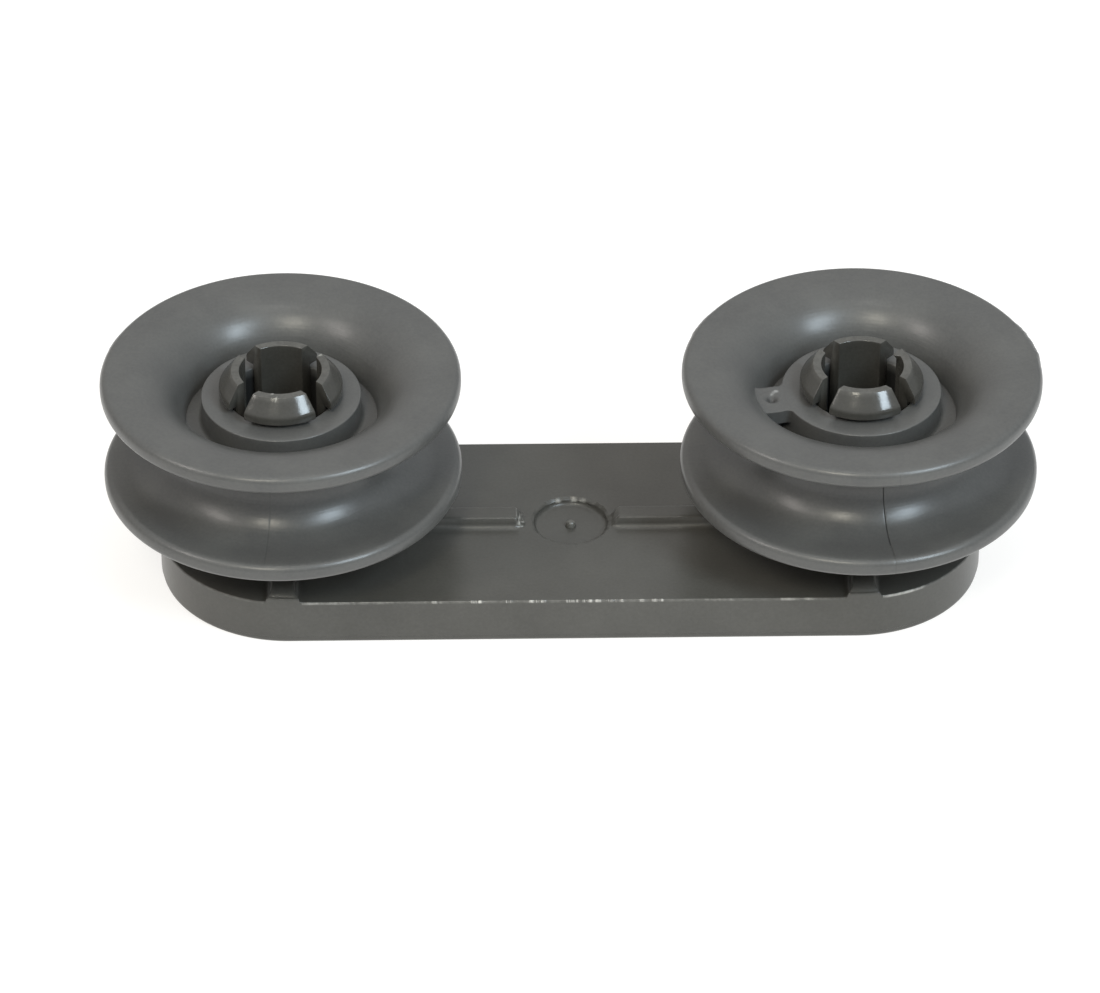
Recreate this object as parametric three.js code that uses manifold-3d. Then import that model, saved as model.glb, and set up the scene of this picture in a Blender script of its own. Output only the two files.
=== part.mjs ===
// Sliding door roller: a moulded carriage plate with two grooved wheels, each snapped over a
// hollow post that ends in four hooked fingers. Millimetres, +Z up. The origin is on the plate's
// back face, midway between the wheels. X runs along the plate, and -Y is the front.

import * as THREE from 'three';
import { mergeVertices } from 'three/addons/utils/BufferGeometryUtils.js';
import Module from 'manifold-3d';

const wasm = await Module();
wasm.setup();

// Carriage plate
const PLATE_LENGTH = 83.4;
const PLATE_WIDTH = 26.6;
const PLATE_THICKNESS = 5.0;
const PLATE_EDGE_BEVEL = 0.2;

// Low ribs on the plate's upper face: one across under each wheel, and two along the middle
const CROSS_RIB = { width: 2.5, height: 1.3, rootFillet: 0.6 };
const MIDDLE_RIB = { width: 2.25, height: 1.1, rootFillet: 0.65 };
const LEFT_RIB_END = -4.6;
const RIGHT_RIB_END = 3.9;

// Round gate recess in the middle of the plate, with the gate's stub on its floor
const RECESS_RADIUS = 3.7;
const RECESS_DEPTH = 0.8;
const GATE_STUB_RADIUS = 0.45;
const GATE_STUB_HEIGHT = 0.6;

// Wheels: every height here is counted from the wheel's middle plane
const WHEEL_SPACING = 58.0;
const WHEEL_MIDDLE_HEIGHT = 17.4;
const WHEEL_RADIUS = 18.0;
const LIP_ROUND = 1.0;
const LIP_MIDDLE = 5.4;
const FLARE_CREST_RADIUS = 15.2;
const FLARE_THROAT_RADIUS = 9.5;
const GROOVE_CENTRE_RADIUS = 15.6;
const GROOVE_FLOOR_RADIUS = 11.2;
const HUB_RADIUS = 8.0;
const HUB_BORE_RADIUS = 5.3;
const HUB_HALF_WIDTH = 3.75;
const WEB_HALF_THICKNESS = 1.0;

// Gate tab that bridges the channel between a wheel's hub and its flare, on one face only
const TAB_WIDTH = 4.4;
const TAB_THICKNESS = 1.6;
const TAB_OUTER_RADIUS = 10.9;
const TAB_ANGLE = 190;

// Posts: shoulder, hollow stub and four snap fingers
const SHOULDER_RADIUS = 7.5;
const SHOULDER_ROOT_FILLET = 1.5;
const POST_RADIUS = 5.2;
const POST_BORE_RADIUS = 4.1;
const POST_FLOOR_HEIGHT = 2.0;
const RUNNING_GAP = 0.3;
const HOOK_RADIUS = 6.2;
const HOOK_TIP_RADIUS = 4.9;
const HOOK_UNDERSIDE_HEIGHT = 21.65;
const HOOK_LAND_TOP_HEIGHT = 22.45;
const FINGER_TIP_HEIGHT = 24.15;
const SLOT_WIDTH = 2.2;

// Facets
const WHEEL_SEGMENTS = 48;
const POST_SEGMENTS = 40;
const PLATE_END_SEGMENTS = 16;
const STUB_SEGMENTS = 12;
const FILLET_SEGMENTS = 4;
const SHOULDER_FILLET_SEGMENTS = 5;
const GROOVE_SEGMENTS = 6;
const LIP_SEGMENTS = 6;
const FUNNEL_SEGMENTS = 7;
const MERGE_DISTANCE = 1e-4;

const HUB_UNDERSIDE_HEIGHT = WHEEL_MIDDLE_HEIGHT - HUB_HALF_WIDTH;
const SHOULDER_HEIGHT = HUB_UNDERSIDE_HEIGHT - RUNNING_GAP;
const LIP_TOP = LIP_MIDDLE + LIP_ROUND;
const LIP_INSIDE = LIP_MIDDLE - LIP_ROUND;
const WHEEL_X = WHEEL_SPACING / 2;
const EMBED = 0.5;

const baseMaterial = new THREE.MeshStandardMaterial({
  name: 'base_plastic', color: 0x605f5a, roughness: 0.38, metalness: 0.0,
});
const wheelMaterial = new THREE.MeshStandardMaterial({
  name: 'wheel_plastic', color: 0x66676a, roughness: 0.52, metalness: 0.0,
});

// Points on an elliptical arc in the radius-height plane
function arc(centreR, centreZ, halfR, halfZ, fromAngle, toAngle, steps) {
  const points = [];
  for (let i = 0; i <= steps; i += 1) {
    const angle = THREE.MathUtils.degToRad(fromAngle + ((toAngle - fromAngle) * i) / steps);
    points.push(new THREE.Vector2(
      centreR + halfR * Math.cos(angle),
      centreZ + halfZ * Math.sin(angle),
    ));
  }
  return points;
}

function toSolid(geometry) {
  const bare = geometry.clone();
  bare.deleteAttribute('normal');
  bare.deleteAttribute('uv');
  const merged = mergeVertices(bare, MERGE_DISTANCE);
  return new wasm.Manifold(new wasm.Mesh({
    numProp: 3,
    vertProperties: Float32Array.from(merged.attributes.position.array),
    triVerts: Uint32Array.from(merged.index.array),
  }));
}

function toGeometry(solid) {
  const mesh = solid.getMesh();
  const geometry = new THREE.BufferGeometry();
  geometry.setAttribute('position', new THREE.BufferAttribute(mesh.vertProperties, 3));
  geometry.setIndex(new THREE.BufferAttribute(mesh.triVerts, 1));
  geometry.computeVertexNormals();
  return geometry;
}

// Ring turned about +Z from a closed profile of (radius, height) points, listed anticlockwise
function ring(profile, segments) {
  const geometry = new THREE.LatheGeometry([...profile, profile[0]], segments);
  geometry.rotateX(Math.PI / 2);
  return toSolid(geometry);
}

function upright(radius, bottom, top, segments) {
  const geometry = new THREE.CylinderGeometry(radius, radius, top - bottom, segments);
  geometry.rotateX(Math.PI / 2);
  geometry.translate(0, 0, (top + bottom) / 2);
  return toSolid(geometry);
}

function slab(outline, bottom, top, bevel) {
  const geometry = new THREE.ExtrudeGeometry(outline, {
    depth: top - bottom - 2 * bevel,
    curveSegments: PLATE_END_SEGMENTS,
    bevelEnabled: bevel > 0,
    bevelThickness: bevel,
    bevelSize: bevel,
    bevelOffset: -bevel,
    bevelSegments: 1,
  });
  geometry.translate(0, 0, bottom + bevel);
  return toSolid(geometry);
}

function stadium(length, width) {
  const radius = width / 2;
  const straight = length / 2 - radius;
  const outline = new THREE.Shape();
  outline.moveTo(-straight, -radius);
  outline.lineTo(straight, -radius);
  outline.absarc(straight, 0, radius, -Math.PI / 2, Math.PI / 2, false);
  outline.lineTo(-straight, radius);
  outline.absarc(-straight, 0, radius, Math.PI / 2, (3 * Math.PI) / 2, false);
  return outline;
}

// Rib section, standing on the plate, with a hollow fillet along each side
function ribSection({ width, height, rootFillet }) {
  const half = width / 2;
  const foot = half + rootFillet;
  const section = new THREE.Shape();
  section.moveTo(-foot, -EMBED);
  section.lineTo(foot, -EMBED);
  section.lineTo(foot, 0);
  section.absarc(foot, rootFillet, rootFillet, -Math.PI / 2, -Math.PI, true);
  section.lineTo(half, height);
  section.lineTo(-half, height);
  section.absarc(-foot, rootFillet, rootFillet, 0, -Math.PI / 2, true);
  return section;
}

// Rib of a given size and length, centred on the origin, running along Y
function rib(size, length) {
  const geometry = new THREE.ExtrudeGeometry(ribSection(size), {
    depth: length, curveSegments: FILLET_SEGMENTS, bevelEnabled: false,
  });
  geometry.translate(0, 0, -length / 2);
  geometry.rotateX(Math.PI / 2);
  return toSolid(geometry);
}

function middleRib(fromX, toX) {
  return rib(MIDDLE_RIB, toX - fromX)
    .rotate([0, 0, 90])
    .translate([(fromX + toX) / 2, 0, PLATE_THICKNESS]);
}

// The upright shoulder that a wheel's hub sits on, flared into the plate at its foot
function shoulder() {
  const foot = PLATE_THICKNESS + SHOULDER_ROOT_FILLET;
  const profile = [
    new THREE.Vector2(POST_BORE_RADIUS, PLATE_THICKNESS - EMBED),
    new THREE.Vector2(SHOULDER_RADIUS + SHOULDER_ROOT_FILLET, PLATE_THICKNESS - EMBED),
    ...arc(SHOULDER_RADIUS + SHOULDER_ROOT_FILLET, foot,
      SHOULDER_ROOT_FILLET, SHOULDER_ROOT_FILLET, 270, 180, SHOULDER_FILLET_SEGMENTS),
    new THREE.Vector2(SHOULDER_RADIUS, SHOULDER_HEIGHT),
    new THREE.Vector2(POST_BORE_RADIUS, SHOULDER_HEIGHT),
  ];
  return ring(profile, POST_SEGMENTS);
}

function basePlate() {
  let body = slab(stadium(PLATE_LENGTH, PLATE_WIDTH), 0, PLATE_THICKNESS, PLATE_EDGE_BEVEL);
  body = body.add(middleRib(-WHEEL_X, LEFT_RIB_END));
  body = body.add(middleRib(RIGHT_RIB_END, WHEEL_X));
  for (const x of [-WHEEL_X, WHEEL_X]) {
    const crossRib = rib(CROSS_RIB, PLATE_WIDTH - 2 * PLATE_EDGE_BEVEL)
      .translate([x, 0, PLATE_THICKNESS]);
    const bore = upright(
      POST_BORE_RADIUS, POST_FLOOR_HEIGHT, SHOULDER_HEIGHT + EMBED, POST_SEGMENTS);
    body = body.add(crossRib);
    body = body.add(shoulder().translate([x, 0, 0]));
    body = body.subtract(bore.translate([x, 0, 0]));
  }
  const recessFloor = PLATE_THICKNESS - RECESS_DEPTH;
  body = body.subtract(
    upright(RECESS_RADIUS, recessFloor, PLATE_THICKNESS + EMBED, POST_SEGMENTS));
  const stubTop = recessFloor + GATE_STUB_HEIGHT;
  return body.add(upright(GATE_STUB_RADIUS, recessFloor - EMBED, stubTop, STUB_SEGMENTS));
}

// Half of the wheel's section, from the bore over the upper flange to the groove's floor
function upperWheelSection() {
  const funnelHalfR = FLARE_CREST_RADIUS - FLARE_THROAT_RADIUS;
  const grooveHalfR = GROOVE_CENTRE_RADIUS - GROOVE_FLOOR_RADIUS;
  const webAngle = THREE.MathUtils.radToDeg(Math.PI - Math.asin(WEB_HALF_THICKNESS / LIP_TOP));
  return [
    ...arc(GROOVE_CENTRE_RADIUS, 0, grooveHalfR, LIP_INSIDE, 180, 90, GROOVE_SEGMENTS),
    ...arc(WHEEL_RADIUS - LIP_ROUND, LIP_MIDDLE, LIP_ROUND, LIP_ROUND, -90, 90, LIP_SEGMENTS),
    ...arc(FLARE_CREST_RADIUS, 0, funnelHalfR, LIP_TOP, 90, webAngle, FUNNEL_SEGMENTS),
    new THREE.Vector2(HUB_RADIUS, WEB_HALF_THICKNESS),
    new THREE.Vector2(HUB_RADIUS, HUB_HALF_WIDTH),
    new THREE.Vector2(HUB_BORE_RADIUS, HUB_HALF_WIDTH),
  ];
}

// Wheel about its own middle, with its gate tab on the upper face
function wheel() {
  const upper = upperWheelSection();
  const lower = upper.slice(1).map((point) => new THREE.Vector2(point.x, -point.y)).reverse();
  const body = ring([...upper, ...lower], WHEEL_SEGMENTS);
  const tabInner = HUB_RADIUS - EMBED;
  const tab = toSolid(new THREE.BoxGeometry(TAB_OUTER_RADIUS - tabInner, TAB_WIDTH, TAB_THICKNESS))
    .translate([(TAB_OUTER_RADIUS + tabInner) / 2, 0, HUB_HALF_WIDTH - TAB_THICKNESS / 2])
    .rotate([0, 0, TAB_ANGLE]);
  return body.add(tab);
}

// The snap finger that points along -Y, about its post's axis
function finger() {
  const rootHeight = SHOULDER_HEIGHT + RUNNING_GAP;
  const sleeve = ring([
    new THREE.Vector2(POST_BORE_RADIUS, rootHeight),
    new THREE.Vector2(POST_RADIUS, rootHeight),
    new THREE.Vector2(POST_RADIUS, HOOK_UNDERSIDE_HEIGHT),
    new THREE.Vector2(HOOK_RADIUS, HOOK_UNDERSIDE_HEIGHT),
    new THREE.Vector2(HOOK_RADIUS, HOOK_LAND_TOP_HEIGHT),
    new THREE.Vector2(HOOK_TIP_RADIUS, FINGER_TIP_HEIGHT),
    new THREE.Vector2(POST_BORE_RADIUS, FINGER_TIP_HEIGHT),
  ], POST_SEGMENTS);
  const apex = (SLOT_WIDTH / 2) * Math.SQRT2;
  const reach = 2 * HOOK_RADIUS;
  const quarter = new THREE.Shape();
  quarter.moveTo(0, -apex);
  quarter.lineTo(-reach, -apex - reach);
  quarter.lineTo(reach, -apex - reach);
  return sleeve.intersect(slab(quarter, 0, FINGER_TIP_HEIGHT + EMBED, 0));
}

const object = new THREE.Group();

function place(name, solid, material, x, z) {
  const mesh = new THREE.Mesh(toGeometry(solid), material.clone());
  mesh.name = name;
  mesh.position.set(x, 0, z);
  object.add(mesh);
}

const FINGER_TURNS = { front: 0, right: 90, back: 180, left: 270 };

place('base_plate', basePlate(), baseMaterial, 0, 0);
place('left_wheel', wheel().rotate([180, 0, 0]), wheelMaterial, -WHEEL_X, WHEEL_MIDDLE_HEIGHT);
place('right_wheel', wheel(), wheelMaterial, WHEEL_X, WHEEL_MIDDLE_HEIGHT);
for (const [side, x] of [['left', -WHEEL_X], ['right', WHEEL_X]]) {
  for (const [facing, turn] of Object.entries(FINGER_TURNS)) {
    place(`${side}_finger_${facing}`, finger().rotate([0, 0, turn]), baseMaterial, x, 0);
  }
}

export default object;
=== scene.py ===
"""Looks of the sliding door roller: two grooved wheels snapped over the split posts of a carriage plate."""

import math
from collections import namedtuple

import bpy
import bmesh
import numpy as np
from mathutils import Matrix, Vector, noise


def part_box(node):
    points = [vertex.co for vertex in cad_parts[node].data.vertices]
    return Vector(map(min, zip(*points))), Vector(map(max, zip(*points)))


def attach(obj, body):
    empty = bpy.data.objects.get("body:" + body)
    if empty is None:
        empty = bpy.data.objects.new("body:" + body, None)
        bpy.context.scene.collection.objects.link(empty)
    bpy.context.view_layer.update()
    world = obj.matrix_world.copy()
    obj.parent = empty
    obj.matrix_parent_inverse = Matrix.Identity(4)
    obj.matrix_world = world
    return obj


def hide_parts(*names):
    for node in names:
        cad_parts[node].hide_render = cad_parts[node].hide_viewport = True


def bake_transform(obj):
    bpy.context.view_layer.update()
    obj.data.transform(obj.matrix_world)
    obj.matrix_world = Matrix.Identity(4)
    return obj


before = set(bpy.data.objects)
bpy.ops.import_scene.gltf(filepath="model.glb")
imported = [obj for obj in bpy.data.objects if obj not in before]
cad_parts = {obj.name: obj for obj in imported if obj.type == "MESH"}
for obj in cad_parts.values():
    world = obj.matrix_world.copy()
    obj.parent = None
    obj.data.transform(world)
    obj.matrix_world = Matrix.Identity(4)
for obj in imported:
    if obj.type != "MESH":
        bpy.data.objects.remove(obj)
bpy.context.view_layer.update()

# ---------------------------------------------------------------------------------------------
# Sizes. Lengths are millimetres until a mesh is made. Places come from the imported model.
# ---------------------------------------------------------------------------------------------
MM = 0.001


def box_in_mm(node):
    low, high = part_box(node)
    return np.array(low) / MM, np.array(high) / MM


plate_low, plate_high = box_in_mm("base_plate")
left_low, left_high = box_in_mm("left_wheel")
right_low, right_high = box_in_mm("right_wheel")
finger_low, finger_high = box_in_mm("right_finger_front")

WHEEL_X = {"left": (left_low[0] + left_high[0]) / 2, "right": (right_low[0] + right_high[0]) / 2}
WHEEL_Z = (right_low[2] + right_high[2]) / 2
WHEEL_R = (right_high[0] - right_low[0]) / 2
WHEEL_TOP = (right_high[2] - right_low[2]) / 2
PLATE_X = plate_high[0]
PLATE_Y = plate_high[1]
SHOULDER_TOP = plate_high[2]
FINGER_TIP = finger_high[2]
DECK = 5.0

# Low ribs on the deck: one across under each wheel, and two along the middle
Rib = namedtuple("Rib", "half rise corner fillet")
CROSS_RIB = Rib(half=1.25, rise=1.3, corner=0.35, fillet=0.6)
MIDDLE_RIB = Rib(half=1.12, rise=1.1, corner=0.45, fillet=0.65)
RIB_ENDS = (-4.6, 3.9)

# Gate recess in the middle of the deck
RECESS_R = 3.7
RECESS_FLOOR = DECK - 0.75
NUB_R = 0.45
NUB_RISE = 0.6

# Posts
SHOULDER_R = 7.5
SHOULDER_FILLET = 1.5
POST_BORE = 4.1
POST_R = 5.2
POST_FLOOR = 2.0
HOOK_R = 6.2
HOOK_UNDER = 21.65
HOOK_LAND = 22.45
HOOK_TIP_R = 4.9
SLOT_HALF = 1.05

# Wheels, with heights about the wheel's middle
LIP_MIDDLE = 5.4
LIP_INSIDE = 4.4
RIM_CORNER = 0.85
CREST_R = 15.2
THROAT_R = 9.5
GROOVE_R = 15.6
GROOVE_FLOOR = 11.2
HUB_R = 8.0
HUB_BORE = 5.3
HUB_TOP = 3.75
HUB_EDGE = 0.13
WEB_TOP = 1.0
WEB_FILLET = 0.4
TAB_HALF = 2.15
TAB_DEPTH = 1.6
TAB_END = 11.1
TAB_ANGLE = math.radians(190)


# ---------------------------------------------------------------------------------------------
# Mesh helpers
# ---------------------------------------------------------------------------------------------
# Points closer than this, in metres, become one
WELD = 2e-7


def arc(centre_r, centre_z, half_r, half_z, start, stop, steps):
    """(r, z) points on an elliptical arc; angles in degrees."""
    angles = np.radians(np.linspace(start, stop, steps + 1))
    return [(centre_r + half_r * math.cos(a), centre_z + half_z * math.sin(a)) for a in angles]


def line(a, b, steps):
    """Points after a, up to and including b."""
    return [tuple(np.array(a) + (np.array(b) - np.array(a)) * (i + 1) / steps) for i in range(steps)]


def rounded(corners, steps=5):
    """Outline through corners given as (x, y, radius), each rounded by its own radius."""
    outline = []
    for i, (x, y, radius) in enumerate(corners):
        corner = np.array((x, y))
        if radius == 0:
            outline.append((x, y))
            continue
        before = np.array(corners[i - 1][:2]) - corner
        after = np.array(corners[(i + 1) % len(corners)][:2]) - corner
        before /= np.linalg.norm(before)
        after /= np.linalg.norm(after)
        half = math.acos(float(np.clip(before @ after, -1, 1))) / 2
        reach = radius / math.tan(half)
        inward = (before + after) / np.linalg.norm(before + after)
        middle = corner + inward * radius / math.sin(half)
        first = corner + before * reach - middle
        last = corner + after * reach - middle
        start = math.atan2(first[1], first[0])
        turn = (math.atan2(last[1], last[0]) - start + math.pi) % (2 * math.pi) - math.pi
        for share in np.linspace(0, 1, steps + 1):
            a = start + turn * share
            outline.append((middle[0] + radius * math.cos(a), middle[1] + radius * math.sin(a)))
    return outline


def divided(outline, longest):
    """The closed outline with its long edges cut into pieces no longer than longest."""
    result = []
    for a, b in zip(outline, outline[1:] + outline[:1]):
        steps = max(1, math.ceil(math.dist(a, b) / longest))
        result.append(a)
        result += line(a, b, steps)[:-1]
    return result


def new_object(name, points, faces, origin=(0, 0, 0)):
    """A mesh object from points in millimetres, relative to origin."""
    mesh = bpy.data.meshes.new(name)
    mesh.from_pydata([tuple(float(c) * MM for c in p) for p in points], [], faces)
    bm = bmesh.new()
    bm.from_mesh(mesh)
    bmesh.ops.remove_doubles(bm, verts=bm.verts, dist=WELD)
    bmesh.ops.dissolve_degenerate(bm, edges=bm.edges, dist=WELD)
    bmesh.ops.recalc_face_normals(bm, faces=bm.faces)
    bm.to_mesh(mesh)
    bm.free()
    obj = bpy.data.objects.new(name, mesh)
    obj.location = Vector(origin) * MM
    bpy.context.scene.collection.objects.link(obj)
    return obj


def lathe(name, profile, angles, origin=(0, 0, 0), push=None):
    """A closed (r, z) profile turned about +Z. push(angle, r, z) moves a point out along its normal."""
    p = np.array(profile, float)
    n = len(p)
    tangent = np.roll(p, -1, 0) - np.roll(p, 1, 0)
    tangent /= np.linalg.norm(tangent, axis=1)[:, None] + 1e-12
    area = np.sum(p[:, 0] * np.roll(p[:, 1], -1) - np.roll(p[:, 0], -1) * p[:, 1])
    normal = np.stack([tangent[:, 1], -tangent[:, 0]], 1) * (1 if area > 0 else -1)
    points = []
    for a in angles:
        c, s = math.cos(a), math.sin(a)
        for (r, z), (nr, nz) in zip(p, normal):
            d = push(a, r, z) if push else 0.0
            points.append(((r + nr * d) * c, (r + nr * d) * s, z + nz * d))
    faces = []
    m = len(angles)
    for i in range(m):
        j = (i + 1) % m
        for k in range(n):
            q = (k + 1) % n
            faces.append((i * n + k, j * n + k, j * n + q, i * n + q))
    return new_object(name, points, faces, origin)


def even_angles(count):
    return [2 * math.pi * i / count for i in range(count)]


def apply_modifiers(obj):
    """Bakes the modifiers into the mesh."""
    graph = bpy.context.evaluated_depsgraph_get()
    mesh = bpy.data.meshes.new_from_object(obj.evaluated_get(graph))
    old = obj.data
    obj.modifiers.clear()
    obj.data = mesh
    bpy.data.meshes.remove(old)
    mesh.name = obj.name


def combine(obj, tool, operation):
    """Joins the tool to the object or cuts it away, and removes the tool."""
    bpy.context.view_layer.update()
    mod = obj.modifiers.new(operation.lower(), "BOOLEAN")
    mod.operation = operation
    mod.solver = "MANIFOLD"
    mod.object = tool
    apply_modifiers(obj)
    bpy.data.objects.remove(tool)


def bevel(obj, width, segments, limit):
    """Rounds the edges that turn by more than limit degrees; width is in millimetres."""
    mod = obj.modifiers.new("bevel", "BEVEL")
    mod.limit_method = "ANGLE"
    mod.angle_limit = math.radians(limit)
    mod.width = width * MM
    mod.segments = segments
    apply_modifiers(obj)


def paint(obj, name, value):
    """Stores value(x, y, z), in millimetres about the object's origin, as a point attribute."""
    layer = obj.data.attributes.new(name, "FLOAT", "POINT")
    values = [float(value(*(v.co / MM))) for v in obj.data.vertices]
    layer.data.foreach_set("value", values)


def ripple(x, y, z, scale, seed=0.0):
    """Smooth repeatable noise from -1 to 1; scale is its size in millimetres."""
    return noise.noise(Vector((x / scale + seed, y / scale - seed, z / scale)))


def near(value, centre, half, soft):
    """1 within half of centre, falling smoothly to 0 over soft."""
    d = abs(value - centre) - half
    if d <= 0:
        return 1.0
    if d >= soft:
        return 0.0
    t = 1 - d / soft
    return t * t * (3 - 2 * t)


def angle_gap(a, b):
    """How far apart two angles are, the short way round."""
    return abs((a - b + math.pi) % (2 * math.pi) - math.pi)


# ---------------------------------------------------------------------------------------------
# Materials
# ---------------------------------------------------------------------------------------------
class Nodes:
    """Short way to build a node tree."""

    def __init__(self, name):
        self.material = bpy.data.materials.new(name)
        self.material.use_nodes = True
        self.tree = self.material.node_tree
        self.tree.nodes.clear()

    def add(self, kind, inputs=None, **settings):
        node = self.tree.nodes.new(kind)
        for key, value in settings.items():
            setattr(node, key, value)
        for key, value in (inputs or {}).items():
            self.put(value, node.inputs[key])
        return node

    def put(self, value, socket):
        if isinstance(value, bpy.types.NodeSocket):
            self.tree.links.new(value, socket)
        else:
            socket.default_value = value

    def noise(self, vector, scale, detail=3.0, roughness=0.55):
        inputs = {"Vector": vector, "Scale": scale, "Detail": detail, "Roughness": roughness}
        return self.add("ShaderNodeTexNoise", inputs).outputs["Fac"]

    def stretch(self, vector, factors):
        node = self.add("ShaderNodeVectorMath", {0: vector, 1: factors}, operation="MULTIPLY")
        return node.outputs[0]

    def span(self, value, low, high, out_low=0.0, out_high=1.0):
        inputs = {"Value": value, "From Min": low, "From Max": high, "To Min": out_low, "To Max": out_high}
        return self.add("ShaderNodeMapRange", inputs, clamp=True).outputs["Result"]

    def math(self, operation, a, b):
        return self.add("ShaderNodeMath", {0: a, 1: b}, operation=operation).outputs[0]

    def mix(self, factor, a, b):
        node = self.add("ShaderNodeMix", {"Factor": factor}, data_type="RGBA")
        self.put(a, node.inputs[6])
        self.put(b, node.inputs[7])
        return node.outputs[2]

    def attribute(self, name):
        return self.add("ShaderNodeAttribute", attribute_name=name).outputs["Fac"]


def grey(r, g, b):
    """Linear colour from sRGB values out of 255."""
    shares = [v / 255 for v in (r, g, b)]
    return tuple(v / 12.92 if v <= 0.04045 else ((v + 0.055) / 1.055) ** 2.4 for v in shares) + (1.0,)


# How much smoother the polished pieces are than the rest, and how much painted shade darkens their colour
POLISH = 0.18
POLISH_PAINTED_SHADE = 0.24
# How much rougher a worn spot is
WORN_ROUGHNESS = 0.15
# Noise frequencies per metre
CLOUD = 150.0
SPECK = 1100.0
FINE = 3200.0
WAVE = 130.0


def plastic(name, dark, light, worn, seam, rough, grain, streak, streak_stretch, wave):
    """Moulded plastic: cloudy colour, fine grain and fine streaks, paler where worn, darker in seams, with
    painted shade inside the wheels' bores and on the polished pieces.

    rough is the range of roughness. grain, streak and wave are bump heights in millimetres."""
    n = Nodes(name)
    place = n.add("ShaderNodeTexCoord").outputs["Object"]
    cloud = n.noise(place, CLOUD, 4.0)
    speck = n.noise(place, SPECK, 3.0, 0.7)
    fine = n.noise(place, FINE, 2.0)
    streaks = n.noise(n.stretch(place, streak_stretch), 1.0, 3.0, 0.6)
    tone = n.math("ADD", n.math("MULTIPLY", cloud, 0.6), n.math("MULTIPLY", fine, 0.4))
    colour = n.mix(n.span(tone, 0.36, 0.64), dark, light)
    polish_and_painted_shade = n.attribute("polish_and_painted_shade")
    # Painted shade: the polished pieces, the fingers, are coloured darker than the same plastic elsewhere
    colour = n.mix(n.math("MULTIPLY", polish_and_painted_shade, POLISH_PAINTED_SHADE), colour, (0.0, 0.0, 0.0, 1.0))
    wear = n.math("MULTIPLY", n.attribute("wear"), n.span(speck, 0.35, 0.62, 0.3, 1.0))
    colour = n.mix(wear, colour, worn)
    # The seam attribute darkens the parting lines and also carries the painted shade inside the wheels'
    # bores
    colour = n.mix(n.attribute("seam"), colour, seam)
    patchy = n.math("ADD", n.math("MULTIPLY", cloud, 0.6), n.math("MULTIPLY", streaks, 0.4))
    roughness = n.math("ADD", n.span(patchy, 0.38, 0.62, *rough), n.math("MULTIPLY", wear, WORN_ROUGHNESS))
    roughness = n.math("SUBTRACT", roughness, n.math("MULTIPLY", polish_and_painted_shade, POLISH))
    height = n.math("ADD", n.math("MULTIPLY", fine, grain), n.math("MULTIPLY", streaks, streak))
    height = n.math("ADD", height, n.math("MULTIPLY", n.noise(place, WAVE, 0.0), wave))
    bump = n.add("ShaderNodeBump", {"Strength": 1.0, "Distance": MM, "Height": height}).outputs[0]
    surface = {"Base Color": colour, "Roughness": roughness, "Normal": bump, "IOR": 1.5}
    shader = n.add("ShaderNodeBsdfPrincipled", surface)
    n.add("ShaderNodeOutputMaterial", {"Surface": shader.outputs[0]})
    return n.material


wheel_plastic = plastic(
    "wheel_plastic",
    dark=grey(74, 74, 73),
    light=grey(84, 84, 82),
    worn=grey(150, 150, 148),
    seam=grey(30, 30, 30),
    rough=(0.29, 0.35),
    grain=0.006,
    streak=0.014,
    streak_stretch=(260, 260, 3800),
    wave=0.04,
)
base_plastic = plastic(
    "base_plastic",
    dark=grey(67, 66, 62),
    light=grey(76, 75, 71),
    worn=grey(205, 203, 196),
    seam=grey(30, 30, 28),
    rough=(0.29, 0.34),
    grain=0.004,
    streak=0.005,
    streak_stretch=(160, 2200, 2200),
    wave=0.02,
)


def dress(obj, material, limit=35):
    """Gives the mesh its material and slot. Edges that turn by more than limit degrees stay sharp."""
    obj.data.shade_smooth()
    obj.data.set_sharp_from_angle(angle=math.radians(limit))
    obj.data.materials.clear()
    obj.data.materials.append(material)


# ---------------------------------------------------------------------------------------------
# Wheels
# ---------------------------------------------------------------------------------------------
WHEEL_STEPS = 288
# A parting line is a shallow groove; the section is repeated at these angles beside it
SEAM_HALF_ANGLE = 0.0045
SEAM_DEPTH = 0.06
SEAM_PLACES = (-0.02, -0.0075, -0.004, 0.0, 0.004, 0.0075, 0.02)
# How much wider the seam's dark colour is than its groove, and how much of it the lips show
SEAM_SPREAD = 1.3
LIP_SEAM_SHARE = 0.25
# Angle between the sections along a burr, and the least angle between any two
BURR_STEP = math.radians(0.4)
LEAST_STEP = 0.0012
# A burr's height on the lip, how many ripples it has to a radian, and the depth of its paler colour
BURR_LEVEL = LIP_MIDDLE + 0.3
BURR_RIPPLES = 60
BURR_SKIN = 0.5
# Unevenness of the moulded surface: its depth, and the size of its swells
SWELL_DEPTH = 0.012
SWELL_SIZE = 9.0
# Share of the seams' dark colour painted inside the bore as painted shade
BORE_PAINTED_SHADE = 0.9


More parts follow.
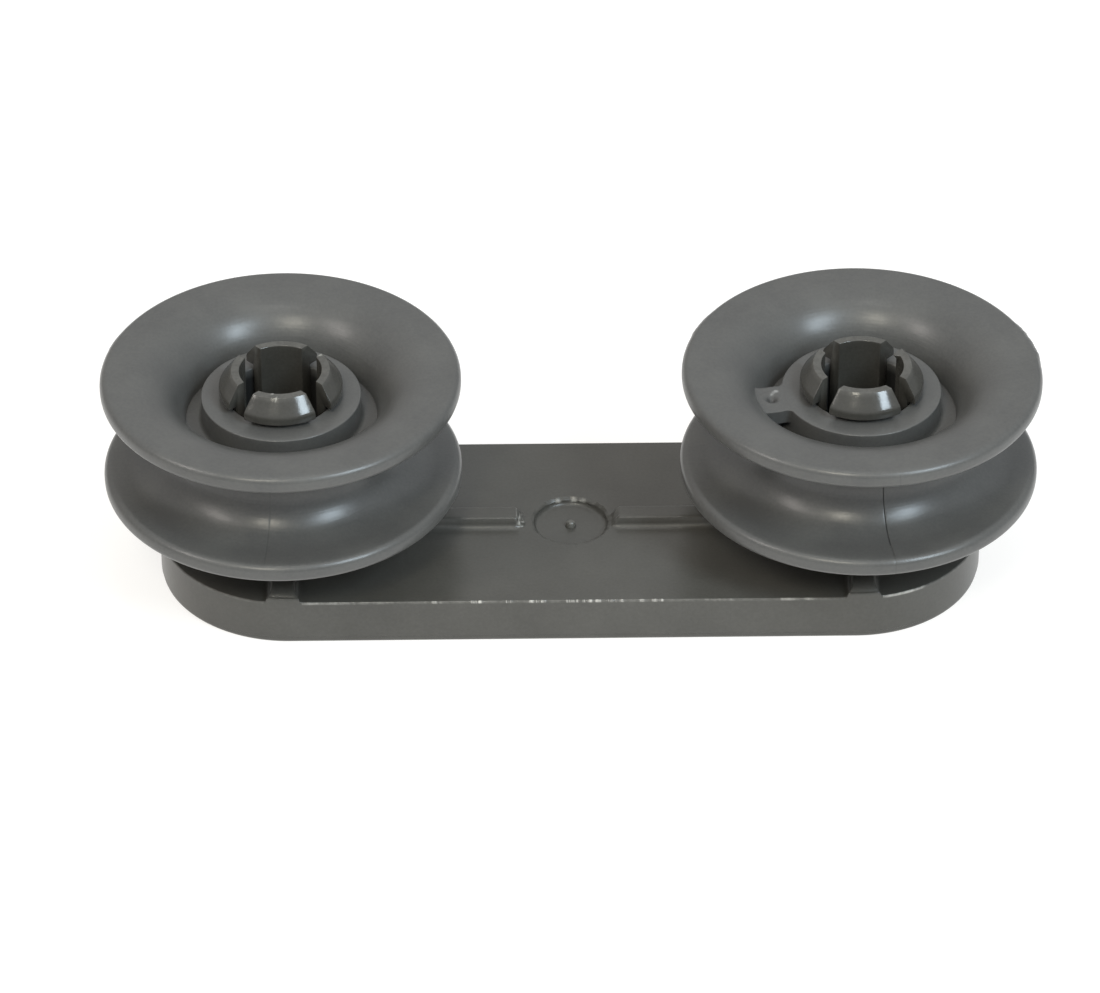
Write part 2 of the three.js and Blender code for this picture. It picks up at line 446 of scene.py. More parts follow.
def upper_section():
    """Half of the wheel's section, from the groove's floor over the flange to the bore."""
    top, corner = WHEEL_TOP, RIM_CORNER
    web = math.degrees(math.asin(WEB_TOP / top))
    funnel = arc(CREST_R, 0, CREST_R - THROAT_R, top, 90, 180 - web, 44)
    return (
        arc(GROOVE_R, 0, GROOVE_R - GROOVE_FLOOR, LIP_INSIDE, 180, 90, 34)
        + line((GROOVE_R, LIP_INSIDE), (WHEEL_R - corner, LIP_INSIDE), 4)
        + arc(WHEEL_R - corner, LIP_INSIDE + corner, corner, corner, -90, 0, 8)[1:]
        + line((WHEEL_R, LIP_INSIDE + corner), (WHEEL_R, top - corner), 2)
        + arc(WHEEL_R - corner, top - corner, corner, corner, 0, 90, 8)[1:]
        + line((WHEEL_R - corner, top), (CREST_R, top), 5)
        + funnel[1:]
        + line(funnel[-1], (HUB_R + WEB_FILLET, WEB_TOP), 4)
        + arc(HUB_R + WEB_FILLET, WEB_TOP + WEB_FILLET, WEB_FILLET, WEB_FILLET, -90, -180, 5)[1:]
        + line((HUB_R, WEB_TOP + WEB_FILLET), (HUB_R, HUB_TOP - HUB_EDGE), 5)
        + arc(HUB_R - HUB_EDGE, HUB_TOP - HUB_EDGE, HUB_EDGE, HUB_EDGE, 0, 90, 4)[1:]
        + line((HUB_R - HUB_EDGE, HUB_TOP), (HUB_BORE + HUB_EDGE, HUB_TOP), 5)
        + arc(HUB_BORE + HUB_EDGE, HUB_TOP - HUB_EDGE, HUB_EDGE, HUB_EDGE, 90, 180, 4)[1:]
        + line((HUB_BORE, HUB_TOP - HUB_EDGE), (HUB_BORE, 0.6), 3)
    )


def wheel_section():
    upper = upper_section()
    lower = [(r, -z) for r, z in reversed(upper[1:])]
    return upper + lower


def wheel_angles(seams, fine_ranges):
    """Angles round the wheel, closer together beside its parting lines and in the fine ranges."""
    angles = even_angles(WHEEL_STEPS)
    for seam in seams:
        angles += [seam + d for d in SEAM_PLACES]
    for low, high in fine_ranges:
        angles += list(np.arange(low, high, BURR_STEP))
    kept = []
    for a in sorted(a % (2 * math.pi) for a in angles):
        if not kept or a - kept[-1] > LEAST_STEP:
            kept.append(float(a))
    return kept


def seam_share(r, z):
    """How much of a parting line shows there: all of it in the groove, part of it on the lips."""
    in_groove = r > GROOVE_FLOOR - 0.2 and abs(z) < (LIP_INSIDE + 0.05 if r > GROOVE_FLOOR + 0.2 else 2.5)
    on_lip = r > WHEEL_R - 0.8 and abs(z) < WHEEL_TOP - 0.35
    return LIP_SEAM_SHARE if on_lip else 1.0 if in_groove else 0.0


def make_wheel(side, seams, burrs, turned_over):
    """seams are (angle, strength). burrs are (angle, half width, height, on the upper flange)."""

    def push(a, r, z):
        depth = SWELL_DEPTH * ripple(r * math.cos(a), r * math.sin(a), z, SWELL_SIZE, WHEEL_X[side])
        for where, strength in seams:
            closeness = 1 - angle_gap(a, where) / SEAM_HALF_ANGLE
            if closeness > 0:
                depth -= SEAM_DEPTH * strength * closeness * seam_share(r, z)
        for where, half, height, upper in burrs:
            gap = angle_gap(a, where)
            if r > WHEEL_R - 0.9 and gap < half and (z > 0) == upper:
                ragged = 0.6 + 0.4 * ripple(a * BURR_RIPPLES, 0, 0, 1.0, where)
                level = near(abs(z), BURR_LEVEL, 0.15, 0.5)
                depth += height * ragged * level * min(1.0, (half - gap) / (half * 0.3))
        return depth

    fine_ranges = [(where - half, where + half) for where, half, _, _ in burrs]
    angles = wheel_angles([where for where, _ in seams], fine_ranges)
    centre = (WHEEL_X[side], 0, WHEEL_Z)
    obj = lathe(side + "_wheel_moulding", wheel_section(), angles, centre, push)
    combine(obj, gate_tab(side), "UNION")

    def wear(x, y, z):
        r = math.hypot(x, y)
        a = math.atan2(y, x)
        value = 0.0
        for where, half, _, upper in burrs:
            gap = angle_gap(a, where)
            if r > WHEEL_R - BURR_SKIN and gap < half and (z > 0) == upper:
                level = near(abs(z), BURR_LEVEL, 0.1, 0.35) * min(1.0, (half - gap) / (half * 0.5))
                value = max(value, level * (0.25 + 0.2 * ripple(a * BURR_RIPPLES, 0, 0, 1.0, where)))
        tab_x, tab_y = tab_place(x, y)
        for fleck_x, fleck_y, fleck_z, reach in TAB_FLECKS:
            gap = math.dist((tab_x, tab_y, z), (fleck_x, fleck_y, fleck_z))
            value = max(value, near(gap, 0, reach * 0.4, reach))
        return min(1.0, value)

    # Seam darkness, painted shade inside the bore, and a darker colour in the tab's dimple
    def seam(x, y, z):
        r = math.hypot(x, y)
        a = math.atan2(y, x)
        # Painted shade inside the bore, carried by the seam attribute
        value = BORE_PAINTED_SHADE if r < HUB_BORE + 0.06 and abs(z) < HUB_TOP - 0.3 else 0.0
        tab_x, tab_y = tab_place(x, y)
        if z > HUB_TOP - 0.6:
            from_dimple = math.hypot(tab_x - DIMPLE_X, tab_y - DIMPLE_Y)
            value = max(value, DIMPLE_DARKENING * near(from_dimple, 0, 0.2, 0.6))
        for where, strength in seams:
            closeness = 1 - angle_gap(a, where) / (SEAM_HALF_ANGLE * SEAM_SPREAD)
            value = max(value, closeness * strength * seam_share(r, z))
        return value

    paint(obj, "wear", wear)
    paint(obj, "seam", seam)
    if turned_over:
        obj.data.transform(Matrix.Rotation(math.pi, 4, "X"))
    dress(obj, wheel_plastic)
    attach(obj, side + "_wheel")
    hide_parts(side + "_wheel")


# The gate's stub between hub and flare: its sunken middle, and white torn flecks as (x, y, z, size)
DIMPLE_X = 9.2
DIMPLE_Y = 0.0
DIMPLE_DEPTH = 0.5
DIMPLE_R = 0.48
# How much darker the dimple's middle is coloured, through the seam attribute
DIMPLE_DARKENING = 0.5
# The raised ring round the dimple
RING_R = 0.95
RING_RISE = 0.05
RING_WIDTH = 0.25
# How far the tab rises and spreads where it meets the funnel's wall
WALL_RISE = 0.45
WALL_SPREAD = 0.35
TAB_FILLET = 0.5
TAB_TAPER = 0.97
WALL_START = 9.7
TAB_FLECKS = (
    (8.5, -1.15, HUB_TOP, 0.24), (8.78, -1.0, HUB_TOP, 0.2), (9.0, -0.75, HUB_TOP, 0.16),
    (10.6, 1.95, HUB_TOP - 0.05, 0.2),
)


def tab_place(x, y):
    """x along the tab and y across it, from a point of the wheel."""
    c, s = math.cos(-TAB_ANGLE), math.sin(-TAB_ANGLE)
    return x * c - y * s, x * s + y * c


def tab_half_width(x):
    """Half width of the tab, which runs into the hub's rim and the funnel's wall by a fillet."""
    fillet_x = math.sqrt((HUB_R + TAB_FILLET) ** 2 - (TAB_HALF + TAB_FILLET) ** 2)
    hub_share = HUB_R / (HUB_R + TAB_FILLET)
    along = fillet_x - max(x, fillet_x * hub_share)
    into_hub = TAB_FILLET - math.sqrt(TAB_FILLET ** 2 - max(0.0, along) ** 2)
    into_wall = WALL_SPREAD * max(0.0, (x - WALL_START) / (TAB_END - WALL_START)) ** 2
    return TAB_HALF + into_hub + into_wall


def tab_top(x, y):
    """Height of the tab's upper face, flush with the hub's."""
    gap = math.hypot((x - DIMPLE_X) / 0.9, y - DIMPLE_Y)
    dimple = DIMPLE_DEPTH * math.exp(-((gap / DIMPLE_R) ** 2))
    ring = RING_RISE * math.exp(-(((gap - RING_R) / RING_WIDTH) ** 2))
    edge = 0.12 * max(0.0, abs(y) / tab_half_width(x) - 0.9) / 0.1
    wall = WALL_RISE * max(0.0, (x - WALL_START) / (TAB_END - WALL_START)) ** 2
    fade = min(1.0, max(0.0, (math.hypot(x, y) - HUB_R + 0.15) / 0.3))
    return HUB_TOP - 0.005 + (wall + ring - dimple - edge + 0.03 * ripple(x, y, 2, 0.5)) * fade


def gate_tab(side):
    """The tab as a block: its uneven upper face, a slightly narrower flat one below, and sides."""
    across, along = 30, 30
    inner = HUB_R - 0.6
    upper = []
    for i in range(along + 1):
        x = inner + (TAB_END - inner) * i / along
        for j in range(across + 1):
            y = (2 * j / across - 1) * (tab_half_width(x) + 0.05 * ripple(x, j > across / 2, 0, 0.6))
            upper.append((x, y, tab_top(x, y)))
    under = [(x, y * TAB_TAPER, HUB_TOP - TAB_DEPTH) for x, y, _ in upper]
    count, row = len(upper), across + 1
    faces = []
    for i in range(along):
        for j in range(across):
            a = i * row + j
            faces.append((a, a + row, a + row + 1, a + 1))
            faces.append((a + count, a + 1 + count, a + row + 1 + count, a + row + count))
    rim = [i * row for i in range(along)] + [along * row + j for j in range(across)]
    rim += [i * row + across for i in range(along, 0, -1)] + list(range(across, 0, -1))
    for a, b in zip(rim, rim[1:] + rim[:1]):
        faces.append((a, a + count, b + count, b))
    tab = new_object("tab_" + side, upper + under, faces, (WHEEL_X[side], 0, WHEEL_Z))
    tab.data.transform(Matrix.Rotation(TAB_ANGLE, 4, "Z"))
    return tab


def degrees_to_radians(entry):
    """(angle, half width, height, upper) with its angles in radians."""
    return (math.radians(entry[0]), math.radians(entry[1])) + tuple(entry[2:])


make_wheel(
    "right",
    seams=((math.radians(278.3), 1.0), (math.radians(98.3), 0.8)),
    burrs=[degrees_to_radians(b) for b in ((15, 12, 0.18, True), (153, 7, 0.10, True))],
    turned_over=False,
)
make_wheel(
    "left",
    seams=((math.radians(95.0), 0.3), (math.radians(275.0), 0.3)),
    burrs=[degrees_to_radians(b) for b in ((10, 9, 0.12, True), (200, 5, 0.06, False))],
    turned_over=True,
)


# ---------------------------------------------------------------------------------------------
# Carriage plate
# ---------------------------------------------------------------------------------------------
# Radii of the rounded edges round the plate's top and foot
EDGE = 0.16
FOOT = 0.35
# A cross rib's rounded end at the plate's edge: how far in it starts, how much it drops, and its flare
END_REACH = 1.9
END_DROP = 0.95
END_FLARE = 0.55
FLARE_REACH = 1.0
MIDDLE_END_ROUND = 1.1
# A shoulder's rounded top edge, how deep its block runs into the plate, and how deep its fillet does
SHOULDER_EDGE = 0.2
SHOULDER_SUNK = 1.0
FILLET_SUNK = 0.012
# Little step round the foot of the plate's side
STEP_HEIGHT = 0.6
STEP_DEPTH = 0.07
# Half length of the plate's straight sides, and half width of its deck inside the rounded edge
STRAIGHT = PLATE_X - PLATE_Y
INNER = PLATE_Y - EDGE
# Unevenness of the deck: its height, and the size of its swells
DECK_SWELL = 0.02
DECK_SWELL_SIZE = 6.0
# Finest spacing of the deck's columns and rows
LEAST_COLUMN = 0.018
LEAST_ROW = 0.015
Burr = namedtuple("Burr", "middle half height white torn")
# Thin burrs along the front top edge, from a smooth one (torn 0) to a row of torn flecks (torn 1)
FRONT_BURRS = (
    Burr(-25.1, 1.9, 0.03, 0.40, 0.3), Burr(-22.4, 0.5, 0.02, 0.25, 0.5), Burr(-19.6, 1.6, 0.02, 0.28, 0.6),
    Burr(-15.3, 0.5, 0.04, 0.45, 1.0), Burr(-13.4, 0.65, 0.06, 0.55, 1.0), Burr(-9.6, 0.5, 0.11, 0.85, 1.0),
    Burr(-6.45, 0.2, 0.14, 0.8, 1.0), Burr(-3.9, 0.35, 0.11, 0.9, 1.0), Burr(-3.05, 0.12, 0.11, 0.9, 1.0),
    Burr(-0.3, 0.25, 0.12, 1.0, 1.0), Burr(0.45, 0.5, 0.14, 1.0, 1.0), Burr(1.65, 0.1, 0.12, 1.0, 0.6),
    Burr(2.45, 0.1, 0.1, 0.9, 0.6), Burr(3.9, 0.3, 0.13, 1.0, 1.0), Burr(4.6, 0.2, 0.14, 1.0, 1.0),
    Burr(6.85, 0.1, 0.12, 0.9, 0.6), Burr(8.1, 0.12, 0.12, 0.9, 0.6), Burr(8.75, 0.1, 0.1, 0.9, 0.6),
    Burr(14.5, 1.4, 0.02, 0.2, 0.7), Burr(22.4, 1.6, 0.03, 0.35, 0.4), Burr(33.0, 2.0, 0.05, 0.7, 0.2),
)
# Pale torn specks on the gate recess's rim, as (x, y)
RIM_FLECKS = ((-1.2, 3.5), (0.4, 3.65), (1.3, 3.45))


def rib_height(d, rib):
    """Height over the deck at a distance d from a rib's middle."""
    if d <= rib.half - rib.corner:
        return rib.rise
    if d <= rib.half:
        t = d - (rib.half - rib.corner)
        return rib.rise - rib.corner + math.sqrt(max(rib.corner ** 2 - t ** 2, 0.0))
    if d >= rib.half + rib.fillet:
        return 0.0
    t = rib.half + rib.fillet - d
    return rib.fillet - math.sqrt(max(rib.fillet ** 2 - t ** 2, 0.0))


def outline_gap(x, y):
    """Distance inside the plate's outline."""
    if abs(x) <= STRAIGHT:
        return PLATE_Y - abs(y)
    return PLATE_Y - math.hypot(abs(x) - STRAIGHT, y)


def end_drop(gap, height):
    """How much a cross rib of that height is rounded off where it runs out at the plate's edge."""
    t = min(1.0, max(0.0, gap / END_REACH))
    return height * END_DROP * (1 - t) ** 2.4 / CROSS_RIB.rise


def end_flare(gap):
    """How much a cross rib spreads on each side where it runs out at the plate's edge."""
    return END_FLARE * max(0.0, 1 - gap / FLARE_REACH) ** 2


def rib_end(distance):
    """Share of a lengthwise rib's height left at a distance inside its end."""
    t = min(1.0, max(0.0, distance / MIDDLE_END_ROUND))
    return t * t * (3 - 2 * t)


def deck_height(x, y):
    """Height of the deck with its ribs, before the posts and the recess."""
    height = 0.0
    gap = outline_gap(x, y)
    for wheel_x in WHEEL_X.values():
        h = rib_height(max(0.0, abs(x - wheel_x) - end_flare(gap)), CROSS_RIB)
        height = max(height, h - end_drop(gap, h))
    if abs(x) < WHEEL_X["right"]:
        inside = RIB_ENDS[0] - x if x < 0 else x - RIB_ENDS[1]
        ragged = 0.35 * ripple(x, y, 0, 0.5) if x < 0 else 0.15 * ripple(x, y, 0, 0.8)
        height = max(height, rib_height(abs(y), MIDDLE_RIB) * rib_end(inside + ragged))
    return DECK + height + DECK_SWELL * ripple(x, y, 0, DECK_SWELL_SIZE) * min(1.0, gap)


def thinned(places, least):
    """Sorted places at least that far apart, with the first and the last kept."""
    places = sorted(places)
    kept = [float(places[0])]
    for p in places[1:-1]:
        if p - kept[-1] > least and places[-1] - p > least:
            kept.append(float(p))
    return kept + [float(places[-1])]


def rib_offsets(rib):
    """Distances from a rib's middle that catch its rounded corner and its fillet."""
    corner = [rib.half - rib.corner * math.cos(a) for a in np.linspace(0, math.pi / 2, 6)]
    fillet = [rib.half + rib.fillet * (1 - math.sin(a)) for a in np.linspace(0, math.pi / 2, 9)]
    return corner + [rib.half + 0.02] + fillet


def column_places():
    """X of the grid's columns."""
    places = list(np.arange(-STRAIGHT, STRAIGHT, 0.24)) + list(np.arange(-11, 10, 0.1))
    end_angles = np.linspace(0, math.pi / 2, 72)
    places += [s * (STRAIGHT + INNER * math.sin(a)) for s in (-1, 1) for a in end_angles]
    beside_rib = rib_offsets(CROSS_RIB) + list(np.arange(0.9, 2.6, 0.06))
    places += [w + s * d for w in WHEEL_X.values() for s in (-1, 1) for d in beside_rib]
    return thinned(places, LEAST_COLUMN)


def row_shares():
    """Grid rows as shares of the half width, from -1 to 1."""
    places = [0.0, 0.4] + rib_offsets(MIDDLE_RIB)
    places += list(np.arange(2.1, INNER - 1.9, 0.45)) + list(np.linspace(INNER - 1.9, INNER, 24))
    positive = thinned(places, LEAST_ROW)
    return [-p / INNER for p in reversed(positive[1:])] + [p / INNER for p in positive]


def front_burr(x, y):
    """Height of the burr on the top edge there, and how white it is."""
    height, white = 0.0, 0.0
    rib_gap = min(abs(x - w) for w in WHEEL_X.values())
    if rib_gap < CROSS_RIB.half + END_FLARE + 0.1:
        return height, white
    white = 0.08 + 0.08 * ripple(x, y, 0, 0.4)
    if y > 0:
        return height, white
    for burr in FRONT_BURRS:
        fine = 1.5 * ripple(x, 0, 0, 0.13, burr.middle) + 0.7 * ripple(x, 0, 0, 0.5, burr.middle)
        level = near(x, burr.middle, burr.half, 0.3) * max(0.0, 1 - burr.torn * (0.55 - fine))
        height = max(height, min(level, 1.2) * burr.height)
        white = max(white, min(1.0, level * burr.white))
    return height, white


def plate_rings():
    """Rings down the plate's side, each as (out, above the border, above the floor, share of a burr).

    A ring follows the border's height, or lies level above the floor where above the border is None."""
    rings = []
    for a, burr in zip(np.radians((30, 60, 90)), (0.8, 1.0, 0.3)):
        rings.append((EDGE * math.sin(a), -EDGE * (1 - math.cos(a)), None, burr))
    rings += [(EDGE, -0.3, None, 0.0), (EDGE, -0.5, None, 0.0), (EDGE, None, 2.4, 0.0)]
    rings += [(EDGE, None, STEP_HEIGHT + STEP_DEPTH, 0.0), (EDGE - STEP_DEPTH, None, STEP_HEIGHT, 0.0)]
    for a in np.radians((0, 30, 60, 90)):
        out = EDGE - STEP_DEPTH * math.cos(a) - FOOT * (1 - math.cos(a))
        rings.append((out, None, FOOT * (1 - math.sin(a)), 0.0))
    return rings


def plate_block():
    """The plate with its ribs, before the posts and the recess."""
    columns, shares = column_places(), row_shares()
    points = []
    for x in columns:
        over = max(0.0, abs(x) - STRAIGHT)
        half = math.sqrt(max(INNER ** 2 - over ** 2, 0.0))
        points += [(x, v * half, deck_height(x, v * half)) for v in shares]
    rows, count = len(shares), len(columns)
    faces = []
    for i in range(count - 1):
        for j in range(rows - 1):
            a = i * rows + j
            faces.append((a, a + rows, a + rows + 1, a + 1))
    border = [i * rows for i in range(count)] + [i * rows + rows - 1 for i in reversed(range(count))]
    loop = border
    for out, above_border, above_floor, burr in plate_rings():
        lower = []
        for index in border:
            x, y, z = points[index]
            over = max(0.0, abs(x) - STRAIGHT)
            across = math.copysign(over, x) / INNER
            along = y / INNER if over > 0 else math.copysign(1.0, y)
            lift = front_burr(x, y)[0] * burr
            reach = out + lift * 0.4
            height = above_floor if above_border is None else z + above_border + lift
            lower.append(len(points))
            points.append((x + across * reach, y + along * reach, height))
        for k in range(len(border)):
            q = (k + 1) % len(border)
            faces.append((loop[k], lower[k], lower[q], loop[q]))
        loop = lower
    for k in range(count - 1):
        faces.append((loop[k], loop[-1 - k], loop[-2 - k], loop[k + 1]))
    return new_object("carriage_moulding", points, faces)


def shoulder(x):
    """The upright shoulder under a wheel's hub, flared into the deck."""
    foot = DECK + SHOULDER_FILLET
    foot_r = SHOULDER_R + SHOULDER_FILLET
    edge = SHOULDER_EDGE
    profile = (
        [(0.0, DECK - SHOULDER_SUNK), (foot_r, DECK - SHOULDER_SUNK)]
        + arc(foot_r, foot - FILLET_SUNK, SHOULDER_FILLET, SHOULDER_FILLET, 270, 180, 12)
        + line((SHOULDER_R, foot), (SHOULDER_R, SHOULDER_TOP - edge), 4)
        + arc(SHOULDER_R - edge, SHOULDER_TOP - edge, edge, edge, 0, 90, 3)[1:]
        + [(0.0, SHOULDER_TOP)]
    )
    return lathe("shoulder", profile, even_angles(128), (x, 0, 0))


def post_bore(x):
    """Cutter for the hollow of a post."""
    profile = rounded([
        (0.0, POST_FLOOR, 0), (POST_BORE, POST_FLOOR, 0.5), (POST_BORE, SHOULDER_TOP + 1, 0),
        (0.0, SHOULDER_TOP + 1, 0),
    ])
    return lathe("bore", profile, even_angles(96), (x, 0, 0))


def recess():
    """Cutter for the round gate recess, with a chipped rim."""
    profile = rounded([
        (0.0, RECESS_FLOOR, 0), (RECESS_R, RECESS_FLOOR, 0.45), (RECESS_R, DECK - 0.25, 0.25),
        (RECESS_R + 0.5, DECK + 0.1, 0), (RECESS_R + 0.5, DECK + 1.6, 0), (0.0, DECK + 1.6, 0),
    ])

    def chipped(a, r, z):
        if r < RECESS_R - 0.1 or z < RECESS_FLOOR + 0.4:
            return 0.0
        return 0.1 * ripple(r * math.cos(a), r * math.sin(a), 0, 0.7)

    return lathe("recess", profile, even_angles(180), push=chipped)


def gate_nub():
    """The gate's torn stub on the recess's floor."""
    top = RECESS_FLOOR + NUB_RISE
    profile = [
        (0.0, RECESS_FLOOR - 0.4), (NUB_R + 0.15, RECESS_FLOOR - 0.4), (NUB_R + 0.1, RECESS_FLOOR + 0.05),
        (NUB_R, top - 0.3), (NUB_R - 0.05, top - 0.1), (NUB_R - 0.2, top), (0.0, top - 0.05),
    ]

    def torn(a, r, z):
        if z < RECESS_FLOOR + 0.2 or r < 0.1:
            return 0.0
        return 0.08 * ripple(r * math.cos(a) * 2, r * math.sin(a) * 2, z, 0.5)

    return lathe("nub", profile, even_angles(24), push=torn)


def plate_wear(x, y, z):
    """Paleness of the burrs, of the nub, of the recess's rim and of the ragged rib end."""
    from_middle = math.hypot(x, y)
    if outline_gap(x, y) < EDGE and z > DECK - 0.25:
        return front_burr(x, y)[1]
    if from_middle < NUB_R + 0.2 and z > RECESS_FLOOR + 0.25:
        return 0.12
    if abs(from_middle - RECESS_R) < 0.4 and z > DECK - 0.4:
        return max(0.6 * near(math.dist((x, y), place), 0, 0.1, 0.32) for place in RIM_FLECKS)
    if abs(y) < MIDDLE_RIB.half + 0.3 and -0.3 < RIB_ENDS[0] - x < 0.9 and z > DECK + 0.1:
        return max(0.0, min(0.6, 1.6 * ripple(x, y, z, 0.35)))
    return 0.0


def make_plate():
    plate = plate_block()
    for x in WHEEL_X.values():
        combine(plate, shoulder(x), "UNION")
        combine(plate, post_bore(x), "DIFFERENCE")
    combine(plate, recess(), "DIFFERENCE")
    combine(plate, gate_nub(), "UNION")
    paint(plate, "wear", plate_wear)
    paint(plate, "seam", lambda x, y, z: 0.0)
    paint(plate, "polish_and_painted_shade", lambda x, y, z: 0.0)
    dress(plate, base_plastic, 32)
    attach(plate, "carriage")
    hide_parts("base_plate")


make_plate()


# ---------------------------------------------------------------------------------------------
# Snap fingers
# ---------------------------------------------------------------------------------------------
# Which way each finger faces, in degrees round from the front
FINGER_TURN = {"front": 0, "right": 90, "back": 180, "left": 270}
# A finger's root is sunk in the shoulder.
FINGER_ROOT = SHOULDER_TOP - 0.6
FINGER_STEPS = 36
FINGER_BEVEL = 0.06
LONGEST_EDGE = 0.6
# How pale the rubbed edge of a finger's top is
TIP_WEAR = 0.06
# Bent and torn spots on a finger's top: (share across the finger, radius, size, inward, down, whiteness)
FINGER_FLAWS = {
    "left_finger_right": ((1.0, 4.5, 0.4, 0.1, -0.1, 1.0),),
    "right_finger_right": ((0.85, 4.2, 0.7, 0.5, 0.0, 0.0),),
    "left_finger_front": ((-0.3, 4.2, 0.22, 0.04, 0.0, 0.6), (-0.12, 4.85, 0.2, 0.0, 0.0, 0.6)),
}


def finger_section():
    """Closed (r, z) section of a finger, anticlockwise."""
    corners = [
        (POST_BORE, FINGER_ROOT, 0), (POST_R, FINGER_ROOT, 0), (POST_R, HOOK_UNDER, 0.1),
        (HOOK_R, HOOK_UNDER, 0.12), (HOOK_R, HOOK_LAND, 0.8), (HOOK_TIP_R, FINGER_TIP, 0.13),
        (POST_BORE, FINGER_TIP, 0.1),
    ]
    return divided(rounded(corners, 6), LONGEST_EDGE)


def make_finger(side, facing):
    name = f"{side}_finger_{facing}"
    section = finger_section()
    centre = -math.pi / 2 + math.radians(FINGER_TURN[facing])
    steps = FINGER_STEPS
    n = len(section)
    points = []
    for i in range(steps + 1):
        v = 2 * i / steps - 1
        for r, z in section:
            in_r, down = 0.0, 0.0
            for share, radius, size, inward, sink, _ in FINGER_FLAWS.get(name, ()):
                level = near(math.dist((v * r, r, z), (share * r, radius, FINGER_TIP)), 0, size * 0.3, size)
                in_r += inward * level
                down += sink * level
            a = centre + v * (math.pi / 4 - math.asin(SLOT_HALF / r))
            points.append(((r - in_r) * math.cos(a), (r - in_r) * math.sin(a), z - down))
    faces = []
    for i in range(steps):
        for k in range(n):
            q = (k + 1) % n
            faces.append((i * n + k, (i + 1) * n + k, (i + 1) * n + q, i * n + q))
    faces.append(tuple(range(n)))
    faces.append(tuple(steps * n + k for k in reversed(range(n))))
    obj = new_object(name + "_moulding", points, faces)
    bevel(obj, FINGER_BEVEL, 2, 40)
    centre_x = WHEEL_X[side]
    obj.data.transform(Matrix.Translation((centre_x * MM, 0, 0)))

    def wear(x, y, z):
        r = math.hypot(x - centre_x, y)
        value = TIP_WEAR * near(z, FINGER_TIP, 0.02, 0.1)
        turn = (math.atan2(y, x - centre_x) - centre + math.pi) % (2 * math.pi) - math.pi
        v = turn / (math.pi / 4 - math.asin(SLOT_HALF / r))
        for share, radius, size, _, _, white in FINGER_FLAWS.get(name, ()):
            gap = math.dist((v * r, r, z), (share * r, radius, FINGER_TIP))
            value = max(value, white * near(gap, 0, size * 0.3, size * 0.8))
        return value

    paint(obj, "wear", wear)
    paint(obj, "seam", lambda x, y, z: 0.0)
    # The fingers are smoother, and painted darker as painted shade
    paint(obj, "polish_and_painted_shade", lambda x, y, z: 1.0)
    dress(obj, base_plastic, 40)
    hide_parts(name)
    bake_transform(obj)


for side in WHEEL_X:
    for facing in FINGER_TURN:
        make_finger(side, facing)


# ---------------------------------------------------------------------------------------------
# Floor, lights and camera
# ---------------------------------------------------------------------------------------------
# Half the floor's side and its gap under the part, in metres
FLOOR_HALF = 3.0
FLOOR_GAP = 0.00002


def make_floor():
    size = FLOOR_HALF
    corners = [(-size, -size, 0), (size, -size, 0), (size, size, 0), (-size, size, 0)]
    mesh = bpy.data.meshes.new("floor")
    mesh.from_pydata(corners, [], [(0, 1, 2, 3)])
    floor = bpy.data.objects.new("floor", mesh)
    floor.location = (0, 0, -FLOOR_GAP)
    bpy.context.scene.collection.objects.link(floor)
    n = Nodes("floor_paper")
    place = n.add("ShaderNodeTexCoord").outputs["Object"]
    colour = n.mix(n.noise(place, 6.0, 2.0), (0.36, 0.36, 0.36, 1), (0.40, 0.40, 0.40, 1))
    surface = {
        "Base Color": colour, "Roughness": 0.9, "Specular IOR Level": 0.1,
        "Emission Color": (1.0, 0.985, 0.96, 1.0), "Emission Strength": 0.7,
    }
    shader = n.add("ShaderNodeBsdfPrincipled", surface)
    n.add("ShaderNodeOutputMaterial", {"Surface": shader.outputs[0]})
    mesh.materials.append(n.material)


def make_world(horizon, zenith):
    """A soft sky, dimmer near the horizon."""
    world = bpy.data.worlds.new("studio")
    world.use_nodes = True
    tree = world.node_tree
    place = tree.nodes.new("ShaderNodeTexCoord")
    axes = tree.nodes.new("ShaderNodeSeparateXYZ")
    rise = tree.nodes.new("ShaderNodeMapRange")
    rise.inputs["To Min"].default_value = horizon
    rise.inputs["To Max"].default_value = zenith
    back = tree.nodes["Background"]
    back.inputs["Color"].default_value = (1.0, 1.0, 1.0, 1.0)
    tree.links.new(place.outputs["Generated"], axes.inputs[0])
    tree.links.new(axes.outputs["Z"], rise.inputs["Value"])
    tree.links.new(rise.outputs["Result"], back.inputs["Strength"])
    bpy.context.scene.world = world


TARGET = Vector((0, 0, 12)) * MM
LIGHT_DISTANCE = 1.2


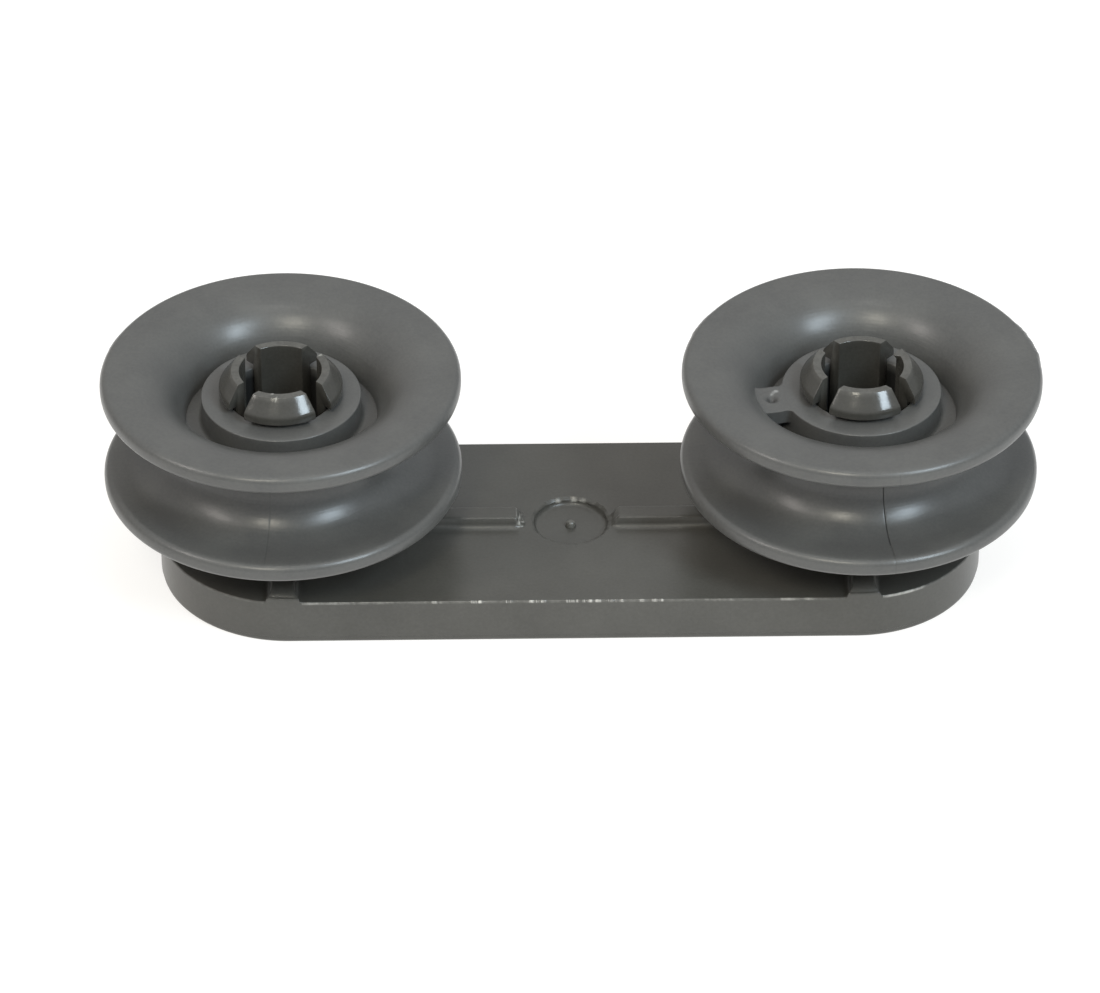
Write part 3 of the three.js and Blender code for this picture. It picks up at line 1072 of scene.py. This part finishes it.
def make_light(name, azimuth, elevation, size, power, colour):
    """A soft box that faces the object. Azimuth 0 is in front (-Y), and positive to the right."""
    a, e = math.radians(azimuth), math.radians(elevation)
    toward = Vector((math.sin(a) * math.cos(e), -math.cos(a) * math.cos(e), math.sin(e)))
    data = bpy.data.lights.new(name, "AREA")
    data.shape = "RECTANGLE"
    data.size, data.size_y = size
    data.energy = power
    data.color = colour
    light = bpy.data.objects.new(name, data)
    light.location = TARGET + toward * LIGHT_DISTANCE
    light.rotation_mode = "QUATERNION"
    light.rotation_quaternion = (-toward).to_track_quat("-Z", "Y")
    bpy.context.scene.collection.objects.link(light)


make_floor()
make_world(0.3, 1.0)
make_light("window", 46, 42, (0.29, 0.50), 8.3, (0.76, 0.90, 1.0))
make_light("left_lamp", -66, 42, (0.20, 0.40), 2.7, (1.0, 0.93, 0.88))
make_light("room_lamp", -17, 50, (0.20, 0.28), 3.6, (1.0, 0.95, 0.80))
make_light("overhead", -13, 84, (0.10, 0.10), 0.5, (1.0, 0.98, 0.92))


def make_camera():
    """The camera looks down at the object from the front, from far off, turned by about a degree."""
    pitch, yaw, roll = 0.642882, -0.020754, 0.003046
    aim = Vector((-2.1135, 0.0, 8.0291)) * MM
    distance = 0.564987
    flat = math.cos(pitch)
    forward = Vector((-math.sin(yaw) * flat, math.cos(yaw) * flat, -math.sin(pitch)))
    level = Vector((math.cos(yaw), math.sin(yaw), 0.0))
    upright = level.cross(forward)
    right = math.cos(roll) * level + math.sin(roll) * upright
    up = math.cos(roll) * upright - math.sin(roll) * level
    data = bpy.data.cameras.new("camera")
    data.lens = 182.503
    data.sensor_width = 36.0
    data.clip_start, data.clip_end = 0.01, 20.0
    camera = bpy.data.objects.new("camera", data)
    rotation = Matrix((right, up, -forward)).transposed()
    camera.matrix_world = Matrix.Translation(aim - forward * distance) @ rotation.to_4x4()
    bpy.context.scene.collection.objects.link(camera)
    bpy.context.scene.camera = camera


make_camera()
bpy.context.scene.view_settings.view_transform = "Standard"
